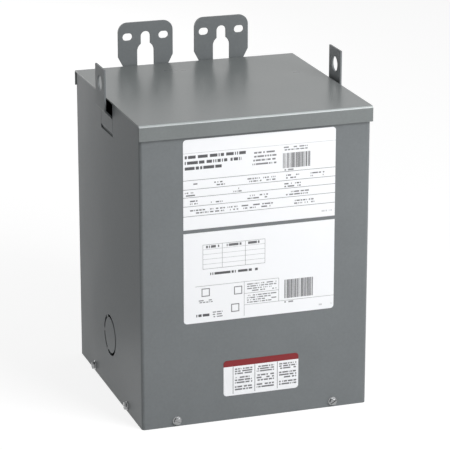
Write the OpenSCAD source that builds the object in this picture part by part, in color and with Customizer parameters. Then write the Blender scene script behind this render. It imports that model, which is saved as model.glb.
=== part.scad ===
// General purpose transformer, encapsulated, in a wall-hung sheet metal case.
// Origin: centre of the footprint, on the floor. Front faces -Y, +Z is up.

/* [Case] */
// Width of the case over its side panels
case_w = 279; // [220:1:360]
// Depth of the case over its front and back panels
case_d = 267; // [210:1:340]
// Height from the floor to the top face of the cover
case_h = 368; // [300:1:480]
// Thickness of the case sheet
sheet = 1.9; // [1.2:0.1:3]
// Outside radius of the bent vertical corners
corner_r = 4; // [3.2:0.1:8]

/* [Cover] */
// How far the cover stands past each side panel
cover_lap = 1.3; // [0:0.1:4]
// Height of the front and back flanges of the cover
cover_flange_h = 18.5; // [10:0.5:30]
// Clearance between a cover flange and the panel behind it
cover_gap = 2.1; // [0.5:0.1:4]
// Outside radius of the cover bends
cover_bend_r = 3.2; // [3.1:0.1:6]

/* [Back panel and bottom pan] */
// Depth of the flanges of the back panel, inside the case sides
back_flange = 14; // [8:1:30]
// Height of the flanges of the bottom pan
pan_flange_h = 24; // [18:1:40]
// Clearance between the inner sheet pieces and the case
fit_gap = 0.2; // [0.1:0.1:0.5]

/* [Potted core] */
// Bottom of the potted block, above the floor
core_z = 104; // [100:1:140]
// Free height between the potted block and the cover
core_headroom = 52; // [46:1:90]
// Side clearance of the potted block
core_side_gap = 3; // [2.8:0.1:8]

/* [Lifting tabs] */
// Width of a lifting tab
tab_w = 37; // [28:1:50]
// Thickness of a lifting tab
tab_t = 2.3; // [1.9:0.1:2.7]
// Height of a lifting tab above the cover
tab_rise = 37; // [28:1:50]
// How far the outer face of a tab stands out from the side panel
tab_offset = 8; // [6:0.5:14]
// Clearance around the foot of a tab in its cut-out
foot_gap = 0.7; // [0.3:0.1:2]
// Diameter of the lifting hole
lift_hole_d = 18.5; // [12:0.5:22]
// Height of the lifting hole above the cover
lift_hole_rise = 17.5; // [14:0.5:20]
// Depth of the cut-out in the side panel, from the top of the cover
notch_depth = 43; // [40:1:60]
// How far the cut-out, and the foot that fills it, run past each side of the tab
notch_gap = 6; // [3:0.5:10]
// Length of the tab that is welded inside the side panel
tab_root = 36; // [20:1:60]

/* [Wall brackets] */
// Distance between the centres of the two wall brackets
bracket_spacing = 98; // [84:1:140]
// Thickness of a wall bracket
bracket_t = 3; // [2:0.1:3.8]
// Width of the ear of a wall bracket
ear_w = 70; // [62:1:80]
// Height of an ear above the cover
ear_rise = 52.5; // [46:0.5:70]
// Radius of the top corners of an ear
ear_r = 12; // [5:0.5:20]
// Width of a wall bracket below its ear
strap_w = 56; // [44:1:61]
// Gap between the back panel and the ear
standoff = 8; // [6:0.5:14]
// Width of the narrow part of the keyhole
key_narrow = 12; // [8:0.5:14]
// Width of the wide part of the keyhole
key_wide = 21.5; // [16:0.5:26]
// Height of the top slots and of the keyhole's narrow end, above the cover
slot_rise = 34.5; // [30:0.5:38]
// Width of the top slots
slot_w = 9.2; // [6:0.1:12]
// Length of the top slots
slot_l = 12.5; // [12.3:0.1:15]
// Distance between the two top slots of an ear
slot_spacing = 46; // [44:1:52]
// Width of the open slot in the foot of a bracket
foot_slot_w = 9.2; // [6:0.1:12]
// Height of the open slot in the foot of a bracket
foot_slot_h = 18; // [12:1:24]

/* [Labels] */
// Width of the two data labels
label_w = 184.5; // [120:0.5:190]
// Height of the upper data label
upper_label_h = 107; // [60:0.5:110]
// Height of the lower data label
lower_label_h = 109.5; // [60:0.5:110]
// Distance between the two data labels
label_gap = 4.4; // [1:0.1:10]
// Sideways place of the data labels, from the middle of the front
label_x = 4; // [-20:0.5:20]
// Distance from the cover flange down to the upper label
label_drop = 3.2; // [1:0.1:10]
// Width of the small label
small_label_w = 93; // [60:0.5:120]
// Height of the small label
small_label_h = 44; // [30:0.5:50]
// Sideways place of the small label, from the middle of the front
small_label_x = 6.5; // [-20:0.5:20]
// Height of the small label, as a share of the free height below the data labels
small_label_share = 0.37; // [0.1:0.01:0.9]
// Corner radius of the labels
label_r = 4; // [1:0.5:8]
// Thickness of the labels
label_t = 0.4; // [0.2:0.1:1]

/* [Knockouts] */
// Diameter of a knockout hole
knockout_d = 50.8; // [20:0.1:70]
// Height of the knockouts above the floor
knockout_z = 71.5; // [62:0.5:80]
// Width of the cut around a knockout slug
knockout_kerf = 3.5; // [0.6:0.1:5]
// Width of the ties that hold a knockout slug
knockout_tie = 4; // [2:0.5:8]

/* [Screws] */
// Height of the screws above the floor
screw_z = 7.2; // [6.6:0.1:12]
// Distance between the two screws of the front and of the back
front_screw_spacing = 194; // [120:1:240]
// Distance between the two screws of each side
side_screw_spacing = 141; // [80:1:180]
// Diameter of the screw shank
screw_d = 4.8; // [3:0.1:6]
// Length of the screw shank
screw_l = 12; // [8:1:16]
// Diameter of the screw's washer face
washer_d = 11; // [9:0.1:13]
// Height of the washer face
washer_h = 1; // [0.6:0.1:2]
// Width of the hexagon across its flats
hex_af = 7.9; // [6:0.1:9]
// Height of the whole screw head
head_h = 4.2; // [3:0.1:6]
// Diametral clearance of a screw in its hole
screw_clearance = 0.3; // [0.2:0.1:0.8]

/* [Hidden] */

$fn = 64;
cut = 1;                       // how far a cutting shape runs past a face
half_w = case_w / 2;
half_d = case_d / 2;
panel_top = case_h - sheet;    // upper edge of the panels, under the cover
inner_r = corner_r - sheet;
bend_r = 4;                    // mean bend radius of the tabs and brackets
bend_steps = 5;
paint = [0.55, 0.57, 0.58];
zinc = [0.78, 0.79, 0.8];
paper = [0.95, 0.95, 0.96];
resin = [0.1, 0.1, 0.11];

cover_out = cover_gap + sheet; // how far the cover stands past the front and back
flange_bottom = case_h - cover_flange_h;

notch_half = tab_w / 2 + notch_gap;
notch_bottom = case_h - notch_depth;
tab_exit = 1;                  // height of the tab's first bend in its cut-out
tab_run_up = 4.5;              // height over which the foot comes out flush with the panel
foot_h = 22;                   // height of the foot in the cut-out
tab_slope = 8;                 // height of the joggle to the full offset

bracket_x = bracket_spacing / 2;
key_wide_top = 16;             // centre of the keyhole's wide round end above the cover
key_bottom = -6;               // centre of the keyhole's lower round end
taper_top = 9.5;               // where an ear starts to narrow, above the cover
taper_bottom = -4;             // where it has reached the width of its strap
joggle = 12;                   // height of a bracket's joggle
ear_bottom = flange_bottom - 4;
foot_top = 36;
foot_bottom = 3;

tie_angle = 62;                // from the rear tie of a knockout to each of the others
tie_gap = 0.05;                // between a knockout's ties and the wall of its hole

upper_label_z = flange_bottom - label_drop - upper_label_h;
lower_label_z = upper_label_z - label_gap - lower_label_h;
small_label_z = (lower_label_z - small_label_h) * small_label_share;

// ---- outlines ----

function unit(v) = v / norm(v);
function normal_of(v) = [-v[1], v[0]];

// Directions of the legs that meet at point i, and the angle between them.
function leg_in(p, i) = unit(p[i] - p[i - 1]);
function leg_out(p, i) = unit(p[i + 1] - p[i]);
function turn(p, i) = let (a = leg_in(p, i), b = leg_out(p, i))
    atan2(a[0] * b[1] - a[1] * b[0], a[0] * b[0] + a[1] * b[1]);

// The path p moved sideways by d, with each bend as an arc about its own centre.
function bend(p, i, r, d) = let (
        a = turn(p, i),
        s = sign(a),
        in = leg_in(p, i),
        start = p[i] - in * r * tan(abs(a) / 2),
        centre = start + normal_of(in) * s * r,
        spoke = -normal_of(in) * s)
    [for (k = [0:bend_steps]) let (t = a * k / bend_steps)
        centre + (r - s * d) * [
            spoke[0] * cos(t) - spoke[1] * sin(t),
            spoke[0] * sin(t) + spoke[1] * cos(t)]];

function side_path(p, r, d) = concat(
    [p[0] + normal_of(leg_out(p, 0)) * d],
    [for (i = [1:len(p) - 2]) each bend(p, i, r, d)],
    [p[len(p) - 1] + normal_of(leg_in(p, len(p) - 1)) * d]);

function reversed(p) = [for (i = [len(p) - 1:-1:0]) p[i]];

// A bent strip of thickness t, on the left-hand side of the path p.
module bent_strip(p, t, r = bend_r) {
    polygon(concat(side_path(p, r, 0), reversed(side_path(p, r, t))));
}

// A rectangle with its lower left corner at the origin and its own radius at
// the two bottom and the two top corners. A radius of 0 leaves them square.
module rounded_outline(w, h, r_bottom, r_top) {
    difference() {
        square([w, h]);
        for (x = [0, w]) {
            corner_cut(x, 0, r_bottom, x == 0 ? 1 : -1, 1);
            corner_cut(x, h, r_top, x == 0 ? 1 : -1, -1);
        }
    }
}

// What a corner at (x, y) loses when it is rounded inwards along (sx, sy).
module corner_cut(x, y, r, sx, sy) {
    if (r > 0)
        translate([x, y]) difference() {
            translate([sx > 0 ? -cut : -r, sy > 0 ? -cut : -r]) square(r + cut);
            translate([sx * r, sy * r]) circle(r);
        }
}

module stadium(w, h) {
    long = max(w, h);
    short = min(w, h);
    rotate(w > h ? 0 : 90) {
        square([long - short, short], center = true);
        for (s = [-1, 1]) translate([s * (long - short) / 2, 0]) circle(d = short);
    }
}

// Stands a flat outline up in the XZ plane, from y = y0 to y = y0 + t.
module upright(y0, t) {
    translate([0, y0 + t, 0]) rotate([90, 0, 0]) linear_extrude(t) children();
}

// Plan outline from y0 to y1, rounded at its two front corners.
module wrap_plan(half, y0, y1, r) {
    translate([-half, y0]) rounded_outline(2 * half, y1 - y0, r, 0);
}

// ---- places that repeat ----

// Both modules put children on a panel's outer face, their +Z axis pointing out.
// side is -1 for the left and 1 for the right.
module on_side(side, y, z) {
    translate([side * half_w, y, z]) rotate([0, side * 90, 0]) children();
}

// face is -1 for the front and 1 for the back.
module on_front(face, x, z) {
    translate([x, face * half_d, z]) rotate([-face * 90, 0, 0]) children();
}

module every_screw_place() {
    for (a = [-1, 1], b = [-1, 1]) {
        on_side(a, b * side_screw_spacing / 2, screw_z) children();
        on_front(a, b * front_screw_spacing / 2, screw_z) children();
    }
}

module screw_holes() {
    every_screw_place()
        translate([0, 0, -screw_l])
            cylinder(d = screw_d + screw_clearance, h = screw_l + cut);
}

// ---- sheet metal case ----

module case_wrap() {
    color(paint) difference() {
        linear_extrude(panel_top) difference() {
            wrap_plan(half_w, -half_d, half_d - sheet, corner_r);
            wrap_plan(half_w - sheet, -half_d + sheet, half_d, inner_r);
        }
        translate([-half_w - cut, -notch_half, notch_bottom])
            cube([case_w + 2 * cut, 2 * notch_half, notch_depth]);
        for (side = [-1, 1])
            on_side(side, 0, knockout_z)
                translate([0, 0, -sheet - cut]) cylinder(d = knockout_d, h = sheet + 2 * cut);
        screw_holes();
    }
}

module back_panel() {
    inner_half = half_w - sheet - fit_gap;
    color(paint) difference() {
        union() {
            translate([-half_w, half_d - sheet, 0]) cube([case_w, sheet, panel_top]);
            for (side = [-1, 1])
                translate([side > 0 ? inner_half - sheet : -inner_half,
                           half_d - sheet - back_flange, pan_flange_h + fit_gap])
                    cube([sheet, back_flange, panel_top - pan_flange_h - 2 * fit_gap]);
        }
        screw_holes();
    }
}

module bottom_pan() {
    px = half_w - sheet - fit_gap;
    py = half_d - sheet - fit_gap;
    relief = corner_r;
    color(paint) difference() {
        union() {
            difference() {
                translate([-px, -py, 0]) cube([2 * px, 2 * py, sheet]);
                for (x = [-px, px], y = [-py, py])
                    translate([x - relief, y - relief, -cut])
                        cube([2 * relief, 2 * relief, sheet + 2 * cut]);
            }
            for (side = [-1, 1]) {
                translate([side > 0 ? px - sheet : -px, -py + relief, 0])
                    cube([sheet, 2 * (py - relief), pan_flange_h]);
                translate([-px + relief, side > 0 ? py - sheet : -py, 0])
                    cube([2 * (px - relief), sheet, pan_flange_h]);
            }
        }
        screw_holes();
    }
}

module top_cover() {
    out = half_d + cover_out;
    lap = half_w + cover_lap;
    color(paint)
        translate([-lap, 0, case_h]) rotate([90, 0, 90]) linear_extrude(2 * lap)
            bent_strip([[-out, -cover_flange_h], [-out, 0], [out, 0], [out, -cover_flange_h]],
                       -sheet, cover_bend_r);
}

module potted_core() {
    color(resin)
        translate([-half_w + sheet + core_side_gap, -half_d + sheet, core_z])
            cube([case_w - 2 * (sheet + core_side_gap), case_d - 2 * sheet,
                  case_h - core_headroom - core_z]);
}

// ---- lifting tabs ----

// A strap welded inside the side panel. Its wide foot fills the lower part of the
// cut-out, flush with the panel. Above the foot it steps out past the cover and
// stands up beside it. side is -1 or 1.
module lifting_tab(side) {
    exit_z = notch_bottom + tab_exit;
    foot_top_z = notch_bottom + foot_h;
    foot_half = notch_half - foot_gap;
    path = [
        [-sheet, notch_bottom - tab_root],
        [-sheet, exit_z],
        [0, exit_z + tab_run_up],
        [0, foot_top_z],
        [tab_offset, foot_top_z + tab_slope],
        [tab_offset, case_h + tab_rise]
    ];
    color(paint) difference() {
        translate([side * half_w, foot_half, 0]) mirror([side < 0 ? 1 : 0, 0, 0])
            rotate([90, 0, 0]) linear_extrude(2 * foot_half) bent_strip(path, tab_t);
        for (row = [-1, 1])
            translate([side * half_w - 2 * tab_offset, row > 0 ? tab_w / 2 : -tab_w / 2 - foot_half,
                       foot_top_z])
                cube([4 * tab_offset, foot_half, tab_rise + 2 * notch_depth]);
        on_side(side, 0, case_h + lift_hole_rise)
            translate([0, 0, -tab_offset]) cylinder(d = lift_hole_d, h = 3 * tab_offset);
    }
}

module left_lifting_tab() lifting_tab(-1);
module right_lifting_tab() lifting_tab(1);

// ---- wall brackets ----

module bracket_outline() {
    z0 = foot_bottom;
    ear_z = case_h + taper_top;
    strap_z = case_h + taper_bottom;
    translate([-ear_w / 2, ear_z]) rounded_outline(ear_w, ear_rise - taper_top, 0, ear_r);
    polygon([[-strap_w / 2, strap_z], [strap_w / 2, strap_z],
             [ear_w / 2, ear_z], [-ear_w / 2, ear_z]]);
    translate([-strap_w / 2, z0]) rounded_outline(strap_w, strap_z - z0, ear_r / 2, 0);
}

module bracket_holes() {
    translate([0, case_h + (key_wide_top + key_bottom) / 2])
        stadium(key_wide, key_wide_top - key_bottom + key_wide);
    translate([0, case_h + (key_wide_top + slot_rise) / 2])
        stadium(key_narrow, slot_rise - key_wide_top + key_narrow);
    for (s = [-1, 1])
        translate([s * slot_spacing / 2, case_h + slot_rise]) stadium(slot_l, slot_w);
    translate([0, foot_bottom + (foot_slot_h - foot_slot_w) / 2])
        stadium(foot_slot_w, foot_slot_h + foot_slot_w);
}

module wall_bracket(side) {
    path = [
        [0, foot_bottom - cut],
        [0, foot_top],
        [-standoff, foot_top + joggle],
        [-standoff, ear_bottom - joggle],
        [0, ear_bottom],
        [0, case_h + ear_rise + cut]
    ];
    color(paint)
        translate([side * bracket_x, half_d + standoff, 0]) difference() {
            intersection() {
                translate([-ear_w / 2, 0, 0]) rotate([90, 0, 90]) linear_extrude(ear_w)
                    bent_strip(path, -bracket_t);
                upright(-2 * standoff, 4 * standoff) bracket_outline();
            }
            upright(-2 * standoff, 4 * standoff) bracket_holes();
        }
}

module left_wall_bracket() wall_bracket(-1);
module right_wall_bracket() wall_bracket(1);

// ---- labels on the front ----

module label(x, z, w, h, r_bottom, r_top) {
    color(paper) translate([x - w / 2, 0, z])
        upright(-half_d - label_t, label_t) rounded_outline(w, h, r_bottom, r_top);
}

module upper_nameplate() label(label_x, upper_label_z, label_w, upper_label_h, 0, label_r);
module lower_nameplate() label(label_x, lower_label_z, label_w, lower_label_h, label_r, 0);
module small_label() label(small_label_x, small_label_z, small_label_w, small_label_h, label_r, label_r);

// ---- knockouts ----

// The slug fills its hole but for the cut around it, which three ties bridge
// on the rear half.
module knockout_slug(side) {
    reach = knockout_d / 2 - tie_gap;
    color(paint) on_side(side, 0, knockout_z) translate([0, 0, -sheet]) {
        cylinder(r = knockout_d / 2 - knockout_kerf, h = sheet);
        intersection() {
            cylinder(r = reach, h = sheet);
            for (a = [-tie_angle, 0, tie_angle])
                rotate(90 + a) translate([0, -knockout_tie / 2, 0])
                    cube([knockout_d, knockout_tie, sheet]);
        }
    }
}

module left_knockout_slug() knockout_slug(-1);
module right_knockout_slug() knockout_slug(1);

// ---- screws ----

module screw() {
    slot_depth = 1.2;
    slot_width = 1.3;
    hex_r = hex_af / 2 / cos(30);
    color(zinc) difference() {
        union() {
            translate([0, 0, -screw_l]) cylinder(d = screw_d, h = screw_l);
            cylinder(d = washer_d, h = washer_h);
            cylinder(r = hex_r, h = head_h, $fn = 6);
        }
        translate([-washer_d / 2, -slot_width / 2, head_h - slot_depth])
            cube([washer_d, slot_width, slot_depth + cut]);
    }
}

module side_screw(side, row) on_side(side, row * side_screw_spacing / 2, screw_z) screw();
module front_screw(face, row) on_front(face, row * front_screw_spacing / 2, screw_z) screw();

module front_left_screw() front_screw(-1, -1);
module front_right_screw() front_screw(-1, 1);
module back_left_screw() front_screw(1, -1);
module back_right_screw() front_screw(1, 1);
module left_front_screw() side_screw(-1, -1);
module left_rear_screw() side_screw(-1, 1);
module right_front_screw() side_screw(1, -1);
module right_rear_screw() side_screw(1, 1);

case_wrap();
back_panel();
bottom_pan();
top_cover();
potted_core();
left_lifting_tab();
right_lifting_tab();
left_wall_bracket();
right_wall_bracket();
upper_nameplate();
lower_nameplate();
small_label();
left_knockout_slug();
right_knockout_slug();
front_left_screw();
front_right_screw();
left_front_screw();
left_rear_screw();
right_front_screw();
right_rear_screw();
back_left_screw();
back_right_screw();
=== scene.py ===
"""The finish of a general purpose transformer: enamelled sheet metal, labels, zinc screws and a studio."""

import math

import bmesh
import bpy
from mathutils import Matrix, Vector


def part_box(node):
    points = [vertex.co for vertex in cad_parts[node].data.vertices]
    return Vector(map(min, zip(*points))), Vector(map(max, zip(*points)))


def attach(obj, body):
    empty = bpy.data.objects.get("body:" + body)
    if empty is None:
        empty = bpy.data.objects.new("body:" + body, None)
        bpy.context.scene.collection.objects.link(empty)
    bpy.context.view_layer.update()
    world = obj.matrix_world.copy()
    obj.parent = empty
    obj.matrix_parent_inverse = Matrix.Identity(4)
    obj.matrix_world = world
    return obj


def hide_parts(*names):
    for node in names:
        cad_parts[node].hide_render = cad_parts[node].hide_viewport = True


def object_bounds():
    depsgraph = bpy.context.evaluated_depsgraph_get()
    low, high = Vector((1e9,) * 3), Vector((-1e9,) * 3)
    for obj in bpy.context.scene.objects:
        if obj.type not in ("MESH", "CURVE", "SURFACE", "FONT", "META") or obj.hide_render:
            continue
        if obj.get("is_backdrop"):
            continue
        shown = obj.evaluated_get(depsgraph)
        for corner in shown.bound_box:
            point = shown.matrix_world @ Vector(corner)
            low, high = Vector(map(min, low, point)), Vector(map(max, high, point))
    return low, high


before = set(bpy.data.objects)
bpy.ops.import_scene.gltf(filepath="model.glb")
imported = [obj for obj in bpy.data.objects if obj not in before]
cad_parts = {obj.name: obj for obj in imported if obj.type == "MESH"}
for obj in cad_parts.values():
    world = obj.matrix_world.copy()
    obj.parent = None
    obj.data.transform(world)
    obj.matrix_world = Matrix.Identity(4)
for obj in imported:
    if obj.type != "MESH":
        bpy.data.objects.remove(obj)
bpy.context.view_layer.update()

bl_info = {
    "name": "Transformer finish",
    "version": (1, 0, 0),
    "blender": (4, 5, 0),
    "location": "3D View > Sidebar > Transformer",
    "description": "Builds the visible surfaces of an encapsulated transformer around its packed model",
    "category": "Object",
}

BODY = "root"
MM = 0.001
FLOOR_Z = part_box("case_wrap")[0].z


# ---------------------------------------------------------------- shader maths


class Field:
    """One output in a node tree. Its operators add Math nodes."""

    def __init__(self, graph, socket):
        self.graph = graph
        self.socket = socket

    def math(self, operation, *others):
        return self.graph.math(operation, self, *others)

    def __add__(self, other):
        return self.math("ADD", other)

    def __radd__(self, other):
        return self.graph.math("ADD", other, self)

    def __sub__(self, other):
        return self.math("SUBTRACT", other)

    def __rsub__(self, other):
        return self.graph.math("SUBTRACT", other, self)

    def __mul__(self, other):
        return self.math("MULTIPLY", other)

    def __rmul__(self, other):
        return self.graph.math("MULTIPLY", other, self)

    def __truediv__(self, other):
        return self.math("DIVIDE", other)

    def __rtruediv__(self, other):
        return self.graph.math("DIVIDE", other, self)

    def __gt__(self, other):
        return self.math("GREATER_THAN", other)

    def __lt__(self, other):
        return self.math("LESS_THAN", other)

    def __or__(self, other):
        return self.math("MAXIMUM", other)

    def floor(self):
        return self.math("FLOOR")

    def fraction(self):
        return self.math("FRACT")

    def absolute(self):
        return self.math("ABSOLUTE")

    def between(self, low, high):
        """1 where low < value < high, else 0."""
        half = (high - low) / 2
        return (self - (low + half)).absolute() < half


# The Mix node has a socket of each name for every kind of value. These are the numbers of the colour ones.
MIX_SHARE, MIX_FIRST, MIX_SECOND, MIX_RESULT = 0, 6, 7, 2


class Graph:
    """Adds nodes to one material or world."""

    def __init__(self, owner):
        owner.use_nodes = True
        self.owner = owner
        self.tree = owner.node_tree
        self.tree.nodes.clear()

    def node(self, kind, settings=None, inputs=None, out=0):
        """Adds a node: its settings first, then its sockets. Gives the output named or numbered by out."""
        made = self.tree.nodes.new(kind)
        for key, value in (settings or {}).items():
            setattr(made, key, value)
        for key, value in (inputs or {}).items():
            if isinstance(value, Field):
                self.tree.links.new(value.socket, made.inputs[key])
            else:
                made.inputs[key].default_value = value
        return Field(self, made.outputs[out])

    def math(self, operation, *values):
        return self.node("ShaderNodeMath", {"operation": operation}, dict(enumerate(values)))

    def place(self):
        """The piece's own coordinates, in millimetres, as three fields."""
        where = self.node("ShaderNodeTexCoord", out="Object")
        parts = self.node("ShaderNodeSeparateXYZ", inputs={"Vector": where})
        return [Field(self, s) * (1 / MM) for s in parts.socket.node.outputs]

    def noise(self, size_mm, detail=2.0, roughness=0.5):
        """Soft noise around 0.5, with features of about this size."""
        where = self.node("ShaderNodeTexCoord", out="Object")
        inputs = {"Vector": where, "Scale": 1 / (size_mm * MM), "Detail": detail, "Roughness": roughness}
        return self.node("ShaderNodeTexNoise", inputs=inputs, out="Fac")

    def chance(self, *seeds):
        """A fixed random number from 0 to 1 for each whole-numbered place."""
        place = self.node("ShaderNodeCombineXYZ", inputs=dict(enumerate(seeds)))
        return self.node("ShaderNodeTexWhiteNoise", {"noise_dimensions": "3D"}, {"Vector": place}, out="Value")

    def mix(self, share, first, second):
        """A colour between first and second."""
        sockets = {MIX_SHARE: share, MIX_FIRST: first, MIX_SECOND: second}
        return self.node("ShaderNodeMix", {"data_type": "RGBA"}, sockets, out=MIX_RESULT)

    def tint(self, share, colour, darkest, lightest):
        """The colour times darkest where share is 0, and times lightest where it is 1."""
        return self.mix(share, shade(colour, darkest), shade(colour, lightest))

    def bump(self, height, depth_mm, strength):
        """A normal for a surface that rises by depth_mm where height goes from 0 to 1."""
        inputs = {"Height": height, "Distance": depth_mm * MM, "Strength": strength}
        return self.node("ShaderNodeBump", inputs=inputs, out="Normal")

    def surface(self, **inputs):
        """Ends the tree in a Principled shader. Underscores in names stand for spaces."""
        named = {key.replace("_", " "): value for key, value in inputs.items()}
        return self.end(self.node("ShaderNodeBsdfPrincipled", inputs=named))

    def end(self, shader, kind="ShaderNodeOutputMaterial"):
        """Joins the shader to the tree's output, and gives the material or world."""
        output = self.tree.nodes.new(kind)
        self.tree.links.new(shader.socket, output.inputs["Surface"])
        return self.owner


def material_graph(name):
    """The empty graph of a new material."""
    return Graph(bpy.data.materials.new(name))


def rgba(colour):
    """A colour with full alpha."""
    return (*colour[:3], 1.0)


def grey(level):
    """A grey with full alpha."""
    return (level, level, level, 1.0)


def shade(colour, factor):
    """A darker or lighter form of a colour, with full alpha."""
    return rgba([c * factor for c in colour[:3]])


def swing(noise, width):
    """A noise around 0.5, as a swing around 0 of this full width."""
    return (noise - 0.5) * width


# ---------------------------------------------------------------- materials


ENAMEL_IOR = 1.33
COAT_ROUGHNESS = 0.2
CASE_PEEL, COVER_PEEL = 0.35, 0.12  # how strong the orange peel is
PEEL_DEPTH = 0.04  # in millimetres
MOTTLE = 0.18  # how much darker and lighter than its colour the enamel may be
GLOSS_SWING = 0.12  # how far the enamel's roughness wanders
HIGHLIGHT_LEAST, HIGHLIGHT_SPREAD = 0.6, 0.5  # how strong the highlight painted on a bend is, and how much stronger it may be
HIGHLIGHT_SMOOTHER = 0.12  # how much smoother the enamel is under the painted highlight


def enamel(name, colour, roughness, peel=CASE_PEEL, coat=0.0, bends=None, gain=1.0):
    """Baked enamel on steel: faint clouding, a fine grain, an orange peel and small changes in gloss.

    bends is a function of a graph. It gives 1 where a highlight is painted into the colour, brighter by gain,
    for the light that a bend catches."""
    g = material_graph(name)
    clouds = g.noise(size_mm=60, detail=3)
    grain = g.noise(size_mm=3.2, detail=3, roughness=0.6)
    tone = clouds * 0.5 + grain * 0.5
    gloss = roughness + swing(clouds, GLOSS_SWING)
    base = g.tint(tone, colour, darkest=1 - MOTTLE, lightest=1 + MOTTLE)
    if bends:
        # Painted highlight: the bends are made lighter in colour, as if a lamp shone on them.
        highlighted = bends(g) * (HIGHLIGHT_LEAST + clouds * HIGHLIGHT_SPREAD)
        base = g.mix(highlighted, base, shade(colour, gain))
        gloss = gloss - highlighted * HIGHLIGHT_SMOOTHER
    return g.surface(
        Base_Color=base,
        Roughness=gloss,
        IOR=ENAMEL_IOR,
        Coat_Weight=coat,
        Coat_Roughness=COAT_ROUGHNESS,
        Normal=g.bump(g.noise(size_mm=1.4, detail=2), depth_mm=PEEL_DEPTH, strength=peel),
    )


def cover_bends(g, width):
    """1 on the rounded front and back edges of the cover, over this width in millimetres: where the highlight
    is painted.
    """
    low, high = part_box("top_cover")
    _, y, z = g.place()
    near_end = (y - (low.y + high.y) / 2 / MM).absolute() > (high.y - low.y) / 2 / MM - width
    near_top = z > high.z / MM - width
    return near_end * near_top


def zinc_plate(name, colour, roughness):
    """Bright zinc: a clean metal with faint clouding and small dull spots."""
    g = material_graph(name)
    cloud = g.noise(size_mm=2.2, detail=3)
    spots = g.noise(size_mm=0.7, detail=2)
    return g.surface(
        Base_Color=g.tint(cloud, colour, darkest=0.82, lightest=1.08),
        Metallic=1.0,
        Roughness=roughness + swing(spots, width=0.2),
        Normal=g.bump(spots, depth_mm=0.02, strength=0.3),
    )


def cast_resin(name, colour, roughness):
    """Sand-filled resin as it sets: dark, matte and slightly pitted."""
    g = material_graph(name)
    grain = g.noise(size_mm=1.8, detail=4, roughness=0.65)
    swirl = g.noise(size_mm=30, detail=3)
    return g.surface(
        Base_Color=g.tint(swirl, colour, darkest=0.7, lightest=1.6),
        Roughness=roughness + swing(grain, width=0.3),
        Normal=g.bump(grain, depth_mm=0.35, strength=0.7),
    )


class Print:
    """Ink on a label. u runs right and v runs up from the label's lower left corner, in millimetres.

    A strength is how dark the ink is, from 0 to 1."""

    SEED_STEP = 17  # between the seeds of two blocks of filler
    WORD = 6  # strokes between the places where a gap may fall
    WORD_SHARE = 0.93  # how many of those places hold strokes
    BAR_SEED = 3
    BAR_LEAST, BAR_SPREAD = 0.3, 0.55  # a bar's narrowest share of its pitch, and how much wider it may be

    def __init__(self, graph, node):
        low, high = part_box(node)
        x, _, z = graph.place()
        self.graph = graph
        self.u = x - low.x / MM
        self.v = z - low.z / MM
        self.width = (high.x - low.x) / MM
        self.height = (high.z - low.z) / MM
        self.ink = None
        self.seed = 0

    def add(self, mask):
        """Adds ink where mask is above 0."""
        self.ink = mask if self.ink is None else self.ink | mask

    def block(self, u0, v0, u1, v1):
        """1 inside this rectangle, else 0."""
        return self.u.between(u0, u1) * self.v.between(v0, v1)

    def rule(self, v, u0, u1, weight=0.45, strength=0.75):
        """A level line at height v."""
        self.add(self.block(u0, v - weight / 2, u1, v + weight / 2) * strength)

    def upright(self, u, v0, v1, weight=0.45, strength=0.75):
        """An upright line at u."""
        self.add(self.block(u - weight / 2, v0, u + weight / 2, v1) * strength)

    def frame(self, u0, v0, u1, v1, weight=0.6, strength=0.8):
        """The outline of a rectangle."""
        outer = self.block(u0, v0, u1, v1)
        inner = self.block(u0 + weight, v0 + weight, u1 - weight, v1 - weight)
        self.add((outer - inner) * strength)

    def lines(self, u0, v0, u1, v1, rows, share=0.55, stroke=0.9, strength=0.8, full=0.72):
        """Rows of broken strokes, as filler for print. They make up no letters and no words."""
        self.seed += self.SEED_STEP
        pitch = (v1 - v0) / rows
        row = ((self.v - v0) / pitch).floor()
        in_row = ((self.v - v0) / pitch).fraction() < share
        stroke_at = ((self.u - u0) / stroke).floor()
        word_at = ((self.u - u0) / (stroke * self.WORD)).floor()
        on = self.graph.chance(stroke_at, row, self.seed) < full
        word = self.graph.chance(word_at, row, self.seed + 1) < self.WORD_SHARE
        self.add(self.block(u0, v0, u1, v1) * in_row * on * word * strength)

    def bars(self, u0, v0, u1, v1, pitch=1.55, strength=0.95):
        """Upright bars of uneven width. They hold no code."""
        self.seed += self.SEED_STEP
        place = (self.u - u0) / pitch
        chance = self.graph.chance(place.floor(), self.seed, self.BAR_SEED)
        width = self.BAR_LEAST + chance * self.BAR_SPREAD
        self.add(self.block(u0, v0, u1, v1) * (place.fraction() < width) * strength)


def upper_print(p):
    """Head lines, two small paragraphs, a bar block and ruled rows with filler in them."""
    p.rule(91, 0, p.width, weight=0.45, strength=0.45)
    for v in (58.9, 48.1, 38.7, 28.0, 16.2):
        p.rule(v, 0, p.width, weight=0.6, strength=0.85)
    head_lines = ((75, 86.3), (70, 79.6), (46, 73))
    for end, v in head_lines:
        p.lines(2, v - 1.8, end, v + 1.8, rows=1, share=1.0, stroke=1.3, strength=0.95, full=0.72)
    p.lines(83, 70, 112, 88, rows=4, share=0.45, stroke=1.0, strength=0.8)
    p.lines(121, 84, 150, 90, rows=2, share=0.5, stroke=1.0, strength=0.8)
    p.bars(120, 63, 154, 81)
    p.lines(121, 59.9, 133, 62.1, rows=1, share=0.9, stroke=1.0, strength=0.7)
    row_fillers = (
        (53.5, ((12, 17), (37, 50), (76, 112), (124, 140), (154, 172))),
        (43.4, ((2, 14), (60, 70), (122, 142))),
        (33.3, ((8, 17), (33, 47), (74, 102), (124, 152))),
        (22.1, ((8, 66), (70, 108), (134, 160))),
    )
    for v, spans in row_fillers:
        for u0, u1 in spans:
            p.lines(u0, v - 3.2, u1, v + 3.2, rows=2, share=0.5, stroke=1.0, strength=0.85, full=0.62)
    p.lines(168, 6, 182, 8.2, rows=1, share=0.9, stroke=1.0, strength=0.35)


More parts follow.
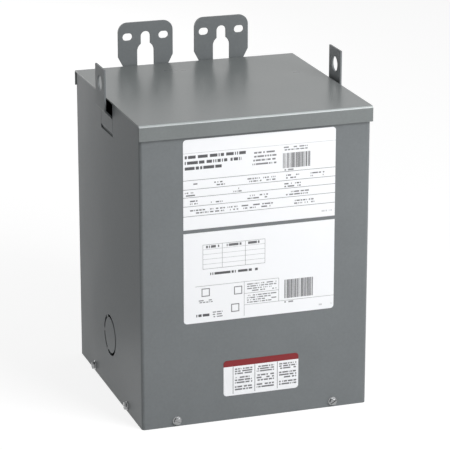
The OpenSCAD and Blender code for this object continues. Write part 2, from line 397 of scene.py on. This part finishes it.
def lower_print(p):
    """A small table, one bold line, a ruled block, a bar block and blank squares."""
    left, low, right, high = 23, 64.7, 99, 94.5
    row = 5.96
    p.frame(left, low, right, high, weight=0.5, strength=0.75)
    for u in (46.7, 74.8):
        p.upright(u, low, high, weight=0.5, strength=0.75)
    for k in range(1, 5):
        p.rule(low + row * k, left, right, weight=0.4, strength=0.6)
    for u0, u1 in ((27, 43), (52, 70), (78, 92)):
        p.lines(u0, 90, u1, 93, rows=1, share=1.0, stroke=1.2, strength=0.9, full=0.7)
    p.lines(32, 57, 90, 60, rows=1, share=1.0, stroke=1.3, strength=0.95, full=0.72)
    block_left, block_right = 73.5, 116
    foot, waist, head = 16.0, 30.0, 44.5
    p.rule(head, 13.8, block_right, weight=0.5, strength=0.75)
    p.rule(waist, block_left, block_right, weight=0.5, strength=0.75)
    p.rule(foot, block_left, p.width, weight=0.5, strength=0.7)
    p.upright(block_left, 2.7, head, weight=0.5, strength=0.75)
    p.upright(block_right, foot, head, weight=0.5, strength=0.75)
    half = 5
    for u, v in ((26.5, 36.5), (66, 35), (62.5, 14)):
        p.frame(u - half, v - half, u + half, v + half, weight=1.1, strength=0.85)
    p.lines(18, 24, 35, 28.5, rows=2, share=0.55, stroke=1.0, strength=0.85)
    p.lines(15, 7.2, 31, 10.4, rows=1, share=1.0, stroke=1.3, strength=0.95, full=0.78)
    p.lines(35, 5, 47, 13.5, rows=3, share=0.5, stroke=1.0, strength=0.8)
    for v0, v1 in ((32, 43), (18, 29)):
        p.lines(77, v0, 113, v1, rows=4, share=0.5, stroke=1.0, strength=0.8, full=0.7)
    p.bars(123, 18.5, 158.7, 41.5)
    p.lines(123, 13, 134, 15.2, rows=1, share=0.9, stroke=1.0, strength=0.7)
    p.lines(166, 5, 182, 7.2, rows=1, share=0.9, stroke=1.0, strength=0.35)


def small_print(p):
    """Three ruled columns of filler under the band."""
    for u in (11.7, 38.7, 66.7):
        p.upright(u, 2, 36, weight=0.7, strength=0.9)
    for u0 in (14, 41, 69):
        for v0, v1, rows in ((26, 34.5, 3), (14.5, 24, 3), (6, 12.5, 2)):
            p.lines(u0, v0, u0 + 21.5, v1, rows=rows, share=0.6, stroke=1.0, strength=0.85, full=0.76)


def label_vinyl(node, printing, paper, ink, band=None, band_height=0.0):
    """A vinyl label: print on a faintly uneven white, with a soft sheen.

    The band runs along the top edge, and its height is in millimetres."""
    g = material_graph(node + "_vinyl")
    p = Print(g, node)
    printing(p)
    base = g.tint(g.noise(size_mm=30), paper, darkest=0.985, lightest=1.0)
    if band:
        base = g.mix(p.v > p.height - band_height, base, rgba(band))
    return g.surface(
        Base_Color=g.mix(p.ink, base, rgba(ink)),
        Roughness=0.42 + swing(g.noise(size_mm=6), width=0.08),
        Normal=g.bump(g.noise(size_mm=4), depth_mm=0.02, strength=0.3),
    )


# ---------------------------------------------------------------- meshes


MERGE_DISTANCE = 1e-6  # in metres
FLAT_ANGLE = math.radians(0.5)  # faces that meet at less are made one
CUT_ANGLE = math.radians(50)  # a cut edge is sharper than this, and a bend's facets are not
SMOOTH_ANGLE = math.radians(35)
LARGE_FACES_FIRST = 100  # a weight above 50 lets the large faces steer the normals


def link(name, data):
    """A new object in the scene, with this mesh, lamp or camera."""
    made = bpy.data.objects.new(name, data)
    bpy.context.scene.collection.objects.link(made)
    return made


def shade_smooth(mesh, sharp_angle):
    """Smooth shading, except over edges sharper than this."""
    for polygon in mesh.polygons:
        polygon.use_smooth = True
    mesh.set_sharp_from_angle(angle=sharp_angle)


def baked(made):
    """Puts the object's evaluated mesh back on it, with no modifier left."""
    graph = bpy.context.evaluated_depsgraph_get()
    mesh = bpy.data.meshes.new_from_object(made.evaluated_get(graph))
    made.modifiers.clear()
    mesh.name = made.name
    made.data = mesh


def softened(node, name, material):
    """A copy of a sheet metal node with its sharp cut edges broken, which stands for the node."""
    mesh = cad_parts[node].data.copy()
    mesh.name = name
    work = bmesh.new()
    work.from_mesh(mesh)
    bmesh.ops.remove_doubles(work, verts=work.verts, dist=MERGE_DISTANCE)
    bmesh.ops.dissolve_limit(work, angle_limit=FLAT_ANGLE, verts=work.verts, edges=work.edges)
    cut = [e for e in work.edges if len(e.link_faces) == 2 and e.calc_face_angle() > CUT_ANGLE]
    bmesh.ops.bevel(work, geom=cut, offset=settings("sheet").edge, offset_type="OFFSET", segments=2,
                    profile=0.6, affect="EDGES", clamp_overlap=True, harden_normals=False)
    bmesh.ops.triangulate(work, faces=work.faces)
    work.to_mesh(mesh)
    work.free()
    mesh.materials.clear()
    mesh.materials.append(material)
    shade_smooth(mesh, SMOOTH_ANGLE)
    made = link(name, mesh)
    weighted = made.modifiers.new("even_shading", "WEIGHTED_NORMAL")
    weighted.keep_sharp = True
    weighted.weight = LARGE_FACES_FIRST
    baked(made)
    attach(made, BODY)
    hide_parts(node)


# ---------------------------------------------------------------- settings


def distance_property(name, description, default, low=0.0, high=10.0):
    """A length in metres."""
    return bpy.props.FloatProperty(name=name, description=description, default=default, min=low, max=high,
                                   subtype="DISTANCE", unit="LENGTH")


def colour_property(name, description, default):
    """A colour without alpha."""
    return bpy.props.FloatVectorProperty(name=name, description=description, default=default, size=3,
                                         min=0.0, max=1.0, subtype="COLOR")


def factor_property(name, description, default):
    """A share from 0 to 1."""
    return bpy.props.FloatProperty(name=name, description=description, default=default, min=0.0, max=1.0,
                                   subtype="FACTOR")


def angle_property(name, description, default_degrees):
    """An angle, given in degrees and kept in radians."""
    default = math.radians(default_degrees)
    return bpy.props.FloatProperty(name=name, description=description, default=default,
                                   subtype="ANGLE", unit="ROTATION")


def power_property(name, description, default):
    """A lamp's power in watts."""
    return bpy.props.FloatProperty(name=name, description=description, default=default, min=0.0,
                                   subtype="POWER", unit="POWER")


class SheetSettings(bpy.types.PropertyGroup):
    """Enamelled sheet metal."""

    paint: colour_property("Paint", "Colour of the grey enamel", (0.165, 0.178, 0.184))
    # The cover's paint is lighter than the case's: painted light, for the brighter light that the cover's
    # flange catches.
    cover_paint_and_light: colour_property("Cover paint", "Colour of the enamel on the cover", (0.185, 0.2, 0.2))
    cover_gloss: factor_property("Cover gloss", "Strength of the clear gloss on the cover", 0.16)
    cover_roughness: factor_property("Cover roughness", "Roughness of the enamel on the cover", 0.3)
    case_roughness: factor_property("Case roughness", "Roughness of the enamel on all the rest", 0.42)
    # The band on the cover's bends is a painted highlight: its colour is made lighter by the gain.
    bend_width: distance_property("Bend width", "Width of the rubbed band on the cover", 0.0022, 0.0, 0.01)
    bend_gain: bpy.props.FloatProperty(name="Bend gain", description="How much brighter the rubbed band is",
                                       default=2.7, min=1.0, max=4.0, subtype="UNSIGNED")
    edge: distance_property("Edge radius", "How far the sheet's cut edges are broken", 0.00035, 0.0, 0.001)


class LabelSettings(bpy.types.PropertyGroup):
    """Vinyl labels."""

    paper: colour_property("Paper", "Colour of the bare label", (0.86, 0.87, 0.89))
    ink: colour_property("Ink", "Colour of the print", (0.035, 0.035, 0.04))
    band: colour_property("Band", "Colour of the band on the small label", (0.2, 0.004, 0.008))
    band_height: distance_property("Band height", "Height of the small label's band", 0.0077, 0.0, 0.02)


class ScrewSettings(bpy.types.PropertyGroup):
    """Zinc-plated hex washer head screws."""

    zinc: colour_property("Zinc", "Colour of the plating", (0.33, 0.335, 0.34))
    roughness: factor_property("Roughness", "Roughness of the plating", 0.15)
    hex_width: distance_property("Hexagon", "Width of the hexagon across its flats", 0.0079, 0.004, 0.009)
    washer_height: distance_property("Washer height", "Height of the washer face", 0.001, 0.0005, 0.002)
    shank: distance_property("Shank", "Diameter of the shank", 0.0048, 0.003, 0.006)
    chamfer: distance_property("Chamfer", "Rounding of the hexagon's top edges", 0.0007, 0.0, 0.002)
    slot_width: distance_property("Slot width", "Width of the slot", 0.0013, 0.0008, 0.002)
    slot_depth: distance_property("Slot depth", "Depth of the slot", 0.0013, 0.0005, 0.002)
    most_turn: angle_property("Most turn", "Largest angle that a head is turned by at random", 180)


class CoreSettings(bpy.types.PropertyGroup):
    """The cast block inside."""

    resin: colour_property("Resin", "Colour of the cast resin", (0.02, 0.02, 0.022))
    roughness: factor_property("Roughness", "Roughness of the cast resin", 0.62)


class StageSettings(bpy.types.PropertyGroup):
    """Camera, lamps and floor."""

    azimuth: angle_property("Azimuth", "How far round to the left the camera stands", 18.5)
    elevation: angle_property("Elevation", "How far up the camera stands", 17.74)
    distance: distance_property("Distance", "From the camera to its aim", 2.894, 0.5, 10.0)
    aim_height: distance_property("Aim height", "Height of the point that the camera looks at", 0.184)
    move_right: distance_property("Move right", "How far camera and aim move to the right", 0.0062, -1.0)
    move_up: distance_property("Move up", "How far camera and aim move up in the view", 0.0121, -1.0)
    lens: bpy.props.FloatProperty(name="Lens", description="Focal length", default=191.6, min=10.0,
                                  subtype="DISTANCE_CAMERA", unit="CAMERA")
    floor_size: distance_property("Floor size", "Width of the floor", 14.0, 2.0, 40.0)
    key_power: power_property("Key", "Power of the soft key lamp", 20.5)
    side_power: power_property("Side", "Power of the low lamp at the right", 8.0)
    top_power: power_property("Top", "Power of the lamp overhead", 1.0)
    back_power: power_property("Back", "Power of the low lamp behind", 10.0)
    world_level: factor_property("World level", "Strength of the even light from all round", 0.3)
    card_level: factor_property("Card", "Brightness of the card at the left, in reflections", 0.4)


SETTINGS = {
    "sheet": SheetSettings,
    "labels": LabelSettings,
    "core": CoreSettings,
    "screws": ScrewSettings,
    "stage": StageSettings,
}
SCENE_PREFIX = "transformer_"


def settings(name):
    """The scene's settings of this group."""
    return getattr(bpy.context.scene, SCENE_PREFIX + name)


# ---------------------------------------------------------------- pieces


SCREW_NODES = [n for n in sorted(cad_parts) if n.endswith("_screw")]


def case_enamel():
    """The grey enamel of the case and its fittings, made once."""
    s = settings("sheet")
    found = bpy.data.materials.get("case_enamel")
    return found or enamel("case_enamel", s.paint, s.case_roughness)


class TRANSFORMER_OT_case(bpy.types.Operator):
    """Case wrap, back panel and bottom pan, with broken edges and satin enamel"""

    bl_idname = "transformer.case"
    bl_label = "Case"
    bl_options = {"REGISTER", "UNDO"}

    def execute(self, context):
        for node in ("case_wrap", "back_panel", "bottom_pan"):
            softened(node, node + "_sheet", case_enamel())
        return {"FINISHED"}


class TRANSFORMER_OT_cover(bpy.types.Operator):
    """Top cover, in a glossier enamel, lighter than the case's as painted light, with a highlight painted on
    its bends
    """

    bl_idname = "transformer.cover"
    bl_label = "Cover"
    bl_options = {"REGISTER", "UNDO"}

    def execute(self, context):
        s = settings("sheet")
        width = s.bend_width / MM
        # The cover's lighter paint and the lighter band on its bends are painted light.
        finish = enamel("cover_enamel", s.cover_paint_and_light, s.cover_roughness, COVER_PEEL, s.cover_gloss,
                        bends=lambda g: cover_bends(g, width), gain=s.bend_gain)
        softened("top_cover", "top_cover_sheet", finish)
        return {"FINISHED"}


class TRANSFORMER_OT_fittings(bpy.types.Operator):
    """Lifting tabs, wall brackets and knockout slugs"""

    bl_idname = "transformer.fittings"
    bl_label = "Tabs, brackets and slugs"
    bl_options = {"REGISTER", "UNDO"}

    def execute(self, context):
        paint = case_enamel()
        for side in ("left", "right"):
            softened(side + "_lifting_tab", side + "_lifting_tab_sheet", paint)
            softened(side + "_wall_bracket", side + "_wall_bracket_sheet", paint)
            softened(side + "_knockout_slug", side + "_slug_sheet", paint)
        return {"FINISHED"}


class TRANSFORMER_OT_labels(bpy.types.Operator):
    """The two data labels and the small label, with filler print"""

    bl_idname = "transformer.labels"
    bl_label = "Labels"
    bl_options = {"REGISTER", "UNDO"}

    def execute(self, context):
        s = settings("labels")
        band_height = s.band_height / MM
        finishes = {
            "upper_nameplate": label_vinyl("upper_nameplate", upper_print, s.paper, s.ink),
            "lower_nameplate": label_vinyl("lower_nameplate", lower_print, s.paper, s.ink),
            "small_label": label_vinyl("small_label", small_print, s.paper, s.ink, s.band, band_height),
        }
        for node, vinyl in finishes.items():
            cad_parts[node].material_slots[0].material = vinyl
        return {"FINISHED"}


class TRANSFORMER_OT_core(bpy.types.Operator):
    """The dark potted block behind the cut-outs"""

    bl_idname = "transformer.core"
    bl_label = "Potted core"
    bl_options = {"REGISTER", "UNDO"}

    def execute(self, context):
        s = settings("core")
        resin = cast_resin("potting_resin", s.resin, s.roughness)
        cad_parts["potted_core"].material_slots[0].material = resin
        return {"FINISHED"}


class TRANSFORMER_OT_screws(bpy.types.Operator):
    """The hex washer head screws along the bottom edge"""

    bl_idname = "transformer.screws"
    bl_label = "Screws"
    bl_options = {"REGISTER", "UNDO"}

    def execute(self, context):
        s = settings("screws")
        made = link("zinc_screws", screw_places())
        head = link("screw_head", screw_head(s))
        cut_slot(head, s)
        plate = zinc_plate("zinc_plate", s.zinc, s.roughness)
        values = {"Head": head, "Most turn": s.most_turn, "Material": plate}
        modifier = made.modifiers.new("screws", "NODES")
        modifier.node_group = screw_tree()
        for item in modifier.node_group.interface.items_tree:
            if item.in_out == "INPUT" and item.name in values:
                modifier[item.identifier] = values[item.name]
        baked(made)
        bpy.data.objects.remove(head)
        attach(made, BODY)
        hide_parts(*SCREW_NODES)
        return {"FINISHED"}


def case_faces():
    """The outer planes of the case that screws sit on: an outward direction and its distance."""
    low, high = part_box("case_wrap")
    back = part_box("back_panel")[1].y
    return ((Vector((-1, 0, 0)), -low.x), (Vector((1, 0, 0)), high.x),
            (Vector((0, -1, 0)), -low.y), (Vector((0, 1, 0)), back))


def screw_places():
    """A point where each screw meets its panel, with the way out as an attribute."""
    points, ways = [], []
    for node in SCREW_NODES:
        low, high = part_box(node)
        middle = (low + high) / 2
        out, distance = min(case_faces(), key=lambda face: abs(middle.dot(face[0]) - face[1]))
        points.append(middle + out * (distance - middle.dot(out)))
        ways.append(out)
    mesh = bpy.data.meshes.new("screw_places")
    mesh.from_pydata(points, [], [])
    way_out = mesh.attributes.new("way_out", "FLOAT_VECTOR", "POINT")
    way_out.data.foreach_set("vector", [c for way in ways for c in way])
    return mesh


# Shares of the washer's height: where its rim starts to turn in, how far in, where it ends, and where the
# hexagon starts inside the washer.
RIM_LOW, RIM_IN, RIM_HIGH, HEX_ROOT = 0.45, 0.35, 0.85, 0.8
SLOPE_END = 0.98  # share of the hexagon's radius at which the washer's slope ends, under the hexagon
WASHER_STEPS = 40
HEAD_SMOOTH_ANGLE = math.radians(30)
TURN_SEED = 4


def head_sizes():
    """The head's height, the shank's length and the washer's radius, from a screw of the frame."""
    low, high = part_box("front_left_screw")
    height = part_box("case_wrap")[0].y - low.y
    return height, high.y - low.y - height, (high.x - low.x) / 2


def screw_head(s):
    """A shank, a washer face with a rounded rim, and a hexagon with its corners chamfered."""
    height, depth, rim = head_sizes()
    washer, shank = s.washer_height, s.shank / 2
    hexagon = s.hex_width / 2 / math.cos(math.radians(30))
    root = washer * HEX_ROOT
    profile = ((0, -depth), (shank, -depth), (shank, 0), (rim, 0), (rim, washer * RIM_LOW),
               (rim - washer * RIM_IN, washer * RIM_HIGH), (hexagon * SLOPE_END, washer), (0, washer))
    work = bmesh.new()
    turned(work, profile, WASHER_STEPS)
    prism = bmesh.ops.create_cone(work, cap_ends=True, segments=6, radius1=hexagon, radius2=hexagon,
                                  depth=height - root)["verts"]
    bmesh.ops.translate(work, verts=prism, vec=(0, 0, (height + root) / 2))
    top = [v for v in prism if v.co.z > height / 2]
    top_edges = [e for e in work.edges if e.verts[0] in top and e.verts[1] in top]
    bmesh.ops.bevel(work, geom=top_edges, offset=s.chamfer, segments=3, profile=0.5, affect="EDGES")
    bmesh.ops.recalc_face_normals(work, faces=work.faces)
    mesh = bpy.data.meshes.new("screw_head")
    work.to_mesh(mesh)
    work.free()
    return mesh


def cut_slot(head, s):
    """Cuts the slot across the top of the head."""
    height, _, rim = head_sizes()
    slot = box_object("screw_slot", (rim * 2, s.slot_width, s.slot_depth * 2), (0, 0, height))
    cut = head.modifiers.new("slot", "BOOLEAN")
    cut.object = slot
    cut.operation = "DIFFERENCE"
    baked(head)
    bpy.data.objects.remove(slot)
    shade_smooth(head.data, HEAD_SMOOTH_ANGLE)


def turned(work, profile, steps):
    """Adds a solid of revolution about Z from (radius, height) points that start and end on the axis."""
    rings = []
    for radius, height in profile:
        if radius == 0:
            rings.append([work.verts.new((0, 0, height))])
            continue
        turns = (2 * math.pi * k / steps for k in range(steps))
        rings.append([work.verts.new((radius * math.cos(t), radius * math.sin(t), height)) for t in turns])
    for below, above in zip(rings, rings[1:]):
        for k in range(steps):
            corners = [below[k % len(below)], below[(k + 1) % len(below)],
                       above[(k + 1) % len(above)], above[k % len(above)]]
            work.faces.new(list(dict.fromkeys(corners)))


def box_object(name, size, middle):
    """A box of this size around this point."""
    mesh = bpy.data.meshes.new(name)
    work = bmesh.new()
    bmesh.ops.create_cube(work, size=1)
    bmesh.ops.scale(work, vec=size, verts=work.verts)
    bmesh.ops.translate(work, vec=middle, verts=work.verts)
    work.to_mesh(mesh)
    work.free()
    return link(name, mesh)


def live(sockets, name):
    """The socket of this name that the node's settings leave in use."""
    return next(s for s in sockets if s.name == name and s.enabled)


def screw_tree():
    """Puts a head on each point along its way_out, each turned by a random angle."""
    tree = bpy.data.node_groups.new("screws", "GeometryNodeTree")
    inputs = {
        "Geometry": "NodeSocketGeometry",
        "Head": "NodeSocketObject",
        "Most turn": "NodeSocketFloat",
        "Material": "NodeSocketMaterial",
    }
    for name, kind in inputs.items():
        tree.interface.new_socket(name, in_out="INPUT", socket_type=kind)
    tree.interface.new_socket("Geometry", in_out="OUTPUT", socket_type="NodeSocketGeometry")

    def add(kind, links=None, values=None, settings=None):
        """Adds a node, its settings first, and gives its outputs."""
        made = tree.nodes.new(kind)
        for key, value in (settings or {}).items():
            setattr(made, key, value)
        for key, value in (values or {}).items():
            live(made.inputs, key).default_value = value
        for key, source in (links or {}).items():
            tree.links.new(source, live(made.inputs, key))
        return made.outputs

    start = add("NodeGroupInput")
    way = add("GeometryNodeInputNamedAttribute", values={"Name": "way_out"},
              settings={"data_type": "FLOAT_VECTOR"})
    facing = add("FunctionNodeAlignRotationToVector", {"Vector": way[0]}, settings={"axis": "Z"})
    turn = add("FunctionNodeRandomValue", {"Max": start["Most turn"]}, {"Min": 0.0, "Seed": TURN_SEED},
               {"data_type": "FLOAT"})
    spin = add("FunctionNodeAxisAngleToRotation", {"Angle": live(turn, "Value")}, {"Axis": (0, 0, 1)})
    both = add("FunctionNodeRotateRotation", {"Rotation": facing[0], "Rotate By": spin[0]},
               settings={"rotation_space": "LOCAL"})
    head = add("GeometryNodeObjectInfo", {"Object": start["Head"]})
    placed = add("GeometryNodeInstanceOnPoints",
                 {"Points": start["Geometry"], "Instance": head["Geometry"], "Rotation": both[0]})
    real = add("GeometryNodeRealizeInstances", {"Geometry": placed[0]})
    finished = add("GeometryNodeSetMaterial", {"Geometry": real[0], "Material": start["Material"]})
    add("NodeGroupOutput", {"Geometry": finished[0]})
    return tree


# The floor's grey as light meets it, and its grey and its glow where it is seen. The last two are white
# together in full light, and a little darker in the object's shadow.
FLOOR_LIT = 0.8
FLOOR_SEEN = 0.3
FLOOR_GLOW = 0.82

# Each lamp's place, and its width and height, in metres. All face the middle of the object.
LAMPS = {
    "key": ((0.66, -1.35, 1.25), (0.8, 0.8)),
    "side": ((1.3, -1.5, 0.5), (0.8, 0.6)),
    "top": ((0.5, 0.1, 1.8), (1.0, 1.0)),
    "back": ((-0.5, 2.0, 0.5), (1.4, 0.8)),
}

# The card stands to the left, just behind the plane of the object's back: how far behind, how far out its near
# and far edges are from the left side, and its height, in metres.
CARD_BEHIND = 0.01
CARD_NEAR = 0.03
CARD_FAR = 1.4
CARD_HEIGHT = 0.9

SENSOR_WIDTH = 36


class TRANSFORMER_OT_stage(bpy.types.Operator):
    """Floor, lamps, world and camera"""

    bl_idname = "transformer.stage"
    bl_label = "Stage"
    bl_options = {"REGISTER", "UNDO"}

    def execute(self, context):
        s = settings("stage")
        build_floor(s)
        build_world(s)
        build_card(s)
        build_lamps(s)
        build_camera(s)
        bpy.context.scene.view_settings.view_transform = "Standard"
        return {"FINISHED"}


def stage_quad(name, corners, material):
    """A flat four-sided face that belongs to the stage."""
    mesh = bpy.data.meshes.new(name)
    mesh.from_pydata(corners, [], [(0, 1, 2, 3)])
    mesh.materials.append(material)
    made = link(name, mesh)
    made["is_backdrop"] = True
    return made


def build_floor(s):
    """A white floor that keeps the object's shadow."""
    g = material_graph("floor_white")
    seen = seen_directly(g)
    lit = g.node("ShaderNodeBsdfDiffuse", inputs={"Color": grey(FLOOR_LIT)})
    shadowed = g.node("ShaderNodeBsdfDiffuse", inputs={"Color": grey(FLOOR_SEEN)})
    glow = g.node("ShaderNodeEmission", inputs={"Color": grey(1.0), "Strength": FLOOR_GLOW})
    bright = g.node("ShaderNodeAddShader", inputs={0: shadowed, 1: glow})
    white = g.end(g.node("ShaderNodeMixShader", inputs={0: seen, 1: lit, 2: bright}))
    half = s.floor_size / 2
    outline = ((-half, -half), (half, -half), (half, half), (-half, half))
    stage_quad("floor", [(x, y, FLOOR_Z) for x, y in outline], white)


def seen_directly(g):
    """1 for rays from the camera and for rays in mirrors and glass, else 0."""
    path = g.node("ShaderNodeLightPath", out="Is Camera Ray")
    outputs = path.socket.node.outputs
    return path | Field(g, outputs["Is Glossy Ray"]) | Field(g, outputs["Is Transmission Ray"])


def build_world(s):
    """Even light from all round, which is seen as white."""
    world = bpy.data.worlds.new("studio")
    bpy.context.scene.world = world
    g = Graph(world)
    level = s.world_level + seen_directly(g) * (1.0 - s.world_level)
    background = g.node("ShaderNodeBackground", inputs={"Color": grey(1.0), "Strength": level})
    g.end(background, "ShaderNodeOutputWorld")


def build_card(s):
    """A dim card at the left. Only reflections show it."""
    low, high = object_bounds()
    y, top = high.y + CARD_BEHIND, CARD_HEIGHT
    near, far = low.x - CARD_NEAR, low.x - CARD_FAR
    g = material_graph("card_dim")
    dim = g.end(g.node("ShaderNodeEmission", inputs={"Color": grey(1.0), "Strength": s.card_level}))
    card = stage_quad("card", [(far, y, FLOOR_Z), (near, y, FLOOR_Z), (near, y, top), (far, y, top)], dim)
    card.visible_camera = False
    card.visible_diffuse = False
    card.visible_shadow = False
    card.visible_transmission = False


def build_lamps(s):
    """The soft lamps, each at the power in the settings."""
    low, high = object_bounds()
    middle = (low + high) / 2
    for name, (place, size) in LAMPS.items():
        lamp = bpy.data.lights.new(name, "AREA")
        lamp.shape = "RECTANGLE"
        lamp.size, lamp.size_y = size
        lamp.energy = getattr(s, name + "_power")
        made = link(name, lamp)
        made.location = place
        made.rotation_euler = (middle - Vector(place)).to_track_quat("-Z", "Y").to_euler()


def build_camera(s):
    """The camera at its angle and distance, moved a little to place the object in the frame."""
    azimuth, elevation = -s.azimuth, s.elevation
    level = math.cos(elevation)
    out = Vector((math.sin(azimuth) * level, -math.cos(azimuth) * level, math.sin(elevation)))
    right = (-out).cross(Vector((0, 0, 1))).normalized()
    up = right.cross(-out)
    camera = bpy.data.cameras.new("camera")
    camera.lens = s.lens
    camera.sensor_width = SENSOR_WIDTH
    made = link("camera", camera)
    aim = Vector((0, 0, s.aim_height))
    made.location = aim + out * s.distance + right * s.move_right + up * s.move_up
    made.rotation_euler = (-out).to_track_quat("-Z", "Y").to_euler()
    bpy.context.scene.camera = made


OPERATORS = (
    TRANSFORMER_OT_case,
    TRANSFORMER_OT_cover,
    TRANSFORMER_OT_fittings,
    TRANSFORMER_OT_labels,
    TRANSFORMER_OT_core,
    TRANSFORMER_OT_screws,
    TRANSFORMER_OT_stage,
)


class TRANSFORMER_PT_panel(bpy.types.Panel):
    """Lists the settings and the operators"""

    bl_idname = "TRANSFORMER_PT_panel"
    bl_label = "Transformer"
    bl_space_type = "VIEW_3D"
    bl_region_type = "UI"
    bl_category = "Transformer"

    def draw(self, context):
        for name, group in SETTINGS.items():
            box = self.layout.box()
            box.label(text=name.capitalize())
            values = settings(name)
            for key in group.__annotations__:
                box.prop(values, key)
        for operator in OPERATORS:
            self.layout.operator(operator.bl_idname)


CLASSES = (*SETTINGS.values(), *OPERATORS, TRANSFORMER_PT_panel)


def register():
    for item in CLASSES:
        bpy.utils.register_class(item)
    for name, group in SETTINGS.items():
        setattr(bpy.types.Scene, SCENE_PREFIX + name, bpy.props.PointerProperty(type=group))


def unregister():
    for name in SETTINGS:
        delattr(bpy.types.Scene, SCENE_PREFIX + name)
    for item in reversed(CLASSES):
        bpy.utils.unregister_class(item)


def main():
    """Builds every piece and the stage."""
    register()
    for operator in OPERATORS:
        group, name = operator.bl_idname.split(".")
        getattr(getattr(bpy.ops, group), name)()


if __name__ == "__main__":
    main()
